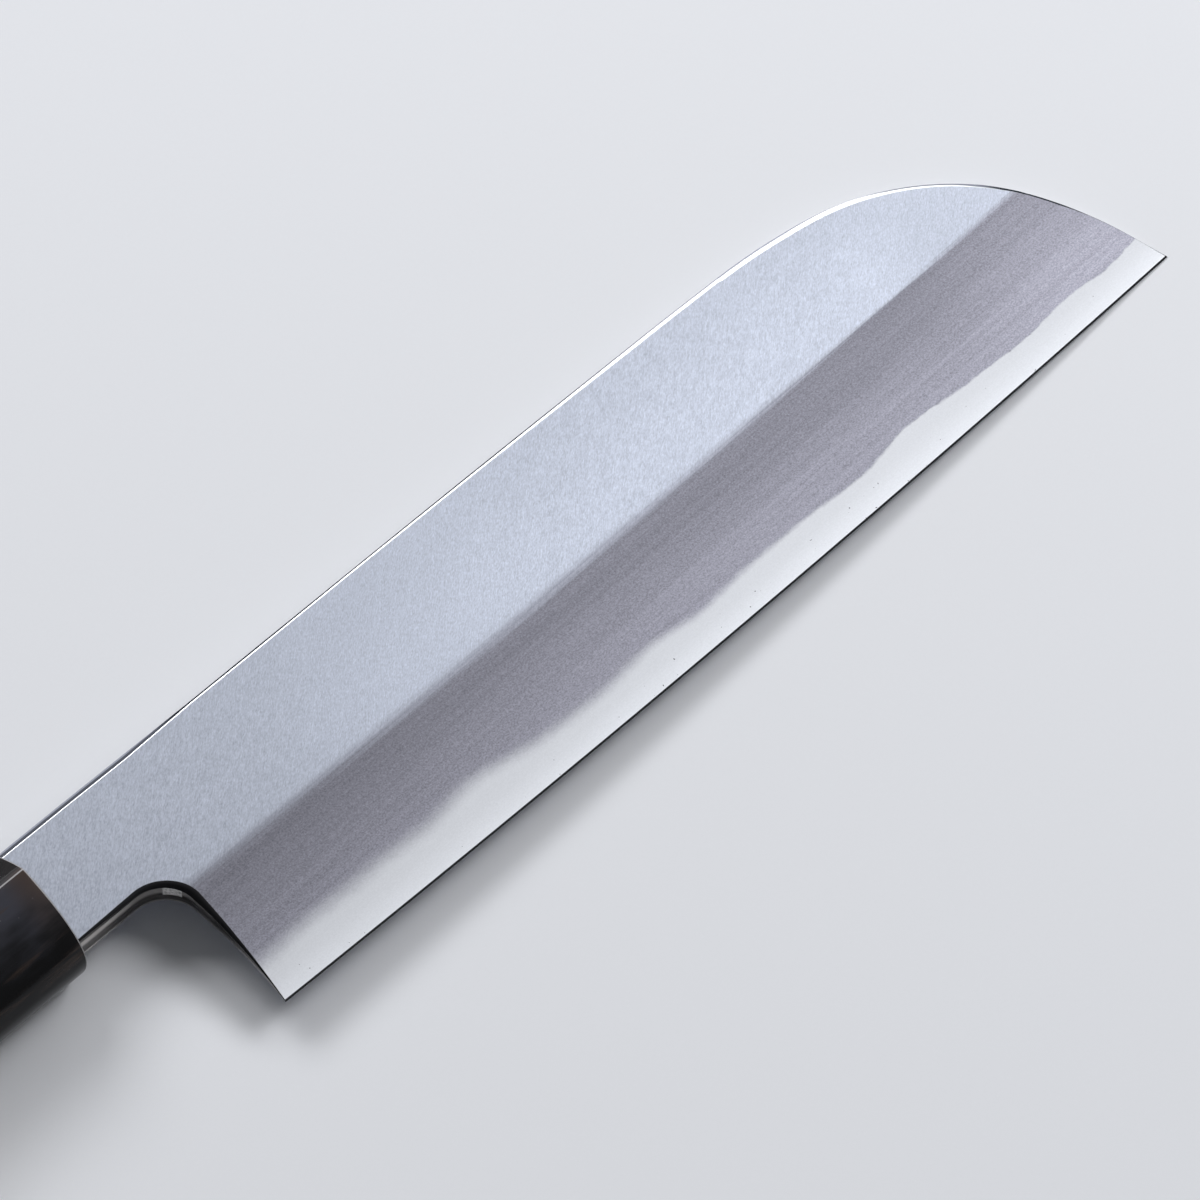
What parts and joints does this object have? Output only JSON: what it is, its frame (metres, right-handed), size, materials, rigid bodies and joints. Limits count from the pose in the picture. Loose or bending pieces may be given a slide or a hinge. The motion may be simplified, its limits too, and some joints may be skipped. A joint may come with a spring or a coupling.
{
  "type": "usuba vegetable knife",
  "caption": "Single-bevel Japanese vegetable knife with a tall flat-edged blade, curved nose, hollow back, dark horn ferrule and D-shaped wooden handle.",
  "frame": {"origin": "under the middle of the knife's bounding box, level with the lowest point of the handle", "axes": "+X from the handle to the tip, +Y from the edge to the spine, +Z out of the ground face of the blade"},
  "size_m": [0.3432, 0.0526, 0.0224],
  "materials": {
    "soft_iron": "satin flat side with fine cross scratches, and a grey stone-ground bevel",
    "hard_steel": "bright honed edge strip and a hollow-ground back",
    "dark_horn": "polished brown-black buffalo horn",
    "pale_wood": "plain sanded magnolia, unvarnished"
  },
  "bodies": {
    "root": {"iron_body": "soft_iron", "steel_layer": "hard_steel", "horn_ferrule": "dark_horn", "wood_handle": "pale_wood"}
  },
  "joints": []
}
